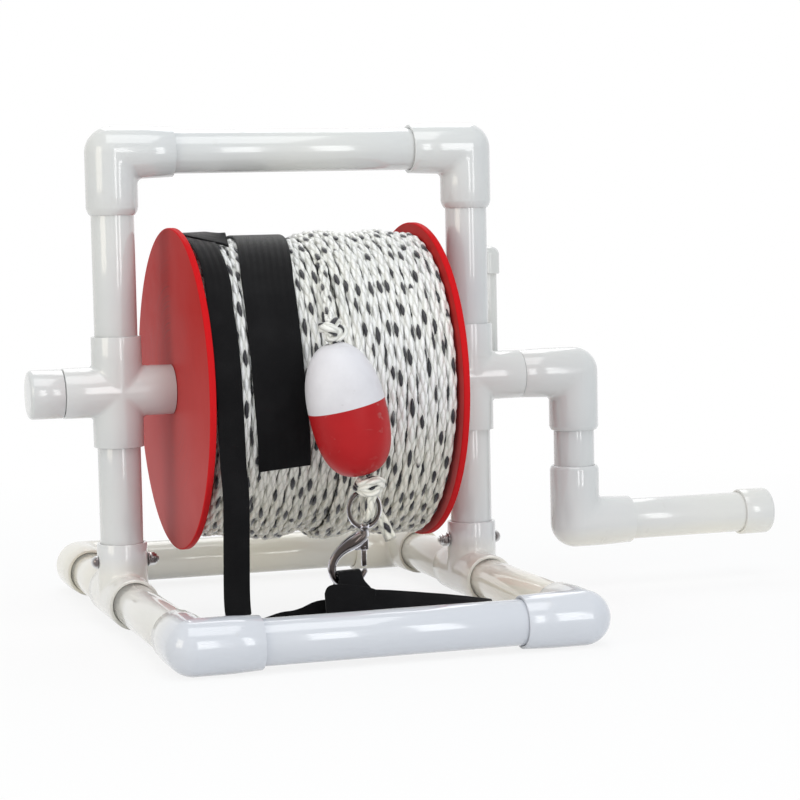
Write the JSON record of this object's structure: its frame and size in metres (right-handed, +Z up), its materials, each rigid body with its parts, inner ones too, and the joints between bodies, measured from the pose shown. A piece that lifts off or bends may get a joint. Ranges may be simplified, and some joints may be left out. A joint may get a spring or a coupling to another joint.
{
  "type": "rescue rope reel",
  "caption": "Hand-cranked reel of rescue rope on a frame of white pipe and fittings, with a float, a snap hook and harness webbing at the rope's end.",
  "frame": {"origin": "centre of the object's footprint, on the floor", "axes": "+X along the axle towards the crank handle, +Y to the rear, away from the float, +Z up"},
  "size_m": [0.7902, 0.581, 0.4865],
  "materials": {
    "pvc": "glossy white PVC",
    "flange_red": "satin red sheet",
    "rope": "braided, white with black tracers",
    "webbing": "woven black webbing",
    "float_foam": "satin, white above and red below",
    "snap_metal": "nickel plated",
    "bolt_steel": "plain stainless steel"
  },
  "bodies": {
    "frame": {"front_base_tube": "pvc", "rear_base_tube": "pvc", "left_front_side_tube": "pvc", "left_rear_side_tube": "pvc", "right_front_side_tube": "pvc", "right_rear_side_tube": "pvc", "front_left_elbow": "pvc", "front_right_elbow": "pvc", "rear_left_elbow": "pvc", "rear_right_elbow": "pvc", "left_base_tee": "pvc", "right_base_tee": "pvc", "left_lower_upright": "pvc", "right_lower_upright": "pvc", "left_cross": "pvc", "right_cross": "pvc", "left_upper_upright": "pvc", "right_upper_upright": "pvc", "top_left_elbow": "pvc", "top_right_elbow": "pvc", "carry_bar": "pvc", "left_tee_bolt": "bolt_steel", "left_tee_washer": "bolt_steel", "left_tee_nut": "bolt_steel", "right_tee_bolt": "bolt_steel", "right_tee_washer": "bolt_steel", "right_tee_nut": "bolt_steel", "free_rope": "rope", "upper_knot": "rope", "float_rope": "rope", "lower_knot": "rope", "rope_eye_bight": "rope", "rope_tail": "rope", "snap_body": "snap_metal", "shoulder_strap": "webbing", "belt_loop": "webbing", "belt_run": "webbing"},
    "reel": {"axle_tube": "pvc", "left_flange": "flange_red", "right_flange": "flange_red", "drum_barrel": "pvc", "rope_inner_layers": "rope", "rope_right_turns": "rope", "rope_left_turns": "rope", "axle_end_cap": "pvc", "crank_axle_elbow": "pvc", "crank_arm_tube": "pvc", "crank_handle_elbow": "pvc", "crank_handle_tube": "pvc", "crank_handle_cap": "pvc", "chest_belt": "webbing"},
    "lock_pin": {"lock_pin_shank": "pvc", "lock_pin_elbow": "pvc", "lock_pin_grip": "pvc", "lock_pin_cap": "pvc"},
    "float": {"float": "float_foam"},
    "swivel": {"swivel_eye": "snap_metal"},
    "gate": {"snap_gate": "snap_metal"}
  },
  "joints": [
    {"name": "reel_spin", "type": "hinge", "parent": "frame", "child": "reel", "pos_m": [-0.1239, 0.034, 0.2286], "axis": [1, 0, 0], "continuous": true, "deforming": ["free_rope"]},
    {"name": "lock_pin_slide", "type": "slide", "parent": "frame", "child": "lock_pin", "axis": [0, 1, 0], "range_m": [0, 0.06]},
    {"name": "float_spin", "type": "hinge", "parent": "frame", "child": "float", "pos_m": [-0.1289, -0.1556, 0.2173], "axis": [-0.2213, 0, 0.9752], "continuous": true},
    {"name": "swivel_turn", "type": "hinge", "parent": "frame", "child": "swivel", "pos_m": [-0.1147, -0.1556, 0.1212], "axis": [0, 0, 1], "range_deg": [-30, 30]},
    {"name": "gate_hinge", "type": "hinge", "parent": "frame", "child": "gate", "pos_m": [-0.1159, -0.1556, 0.0875], "axis": [0, 1, 0], "range_deg": [0, 40], "stiffness_Nm_per_rad": 0.02, "springref_deg": -17.19}
  ]
}
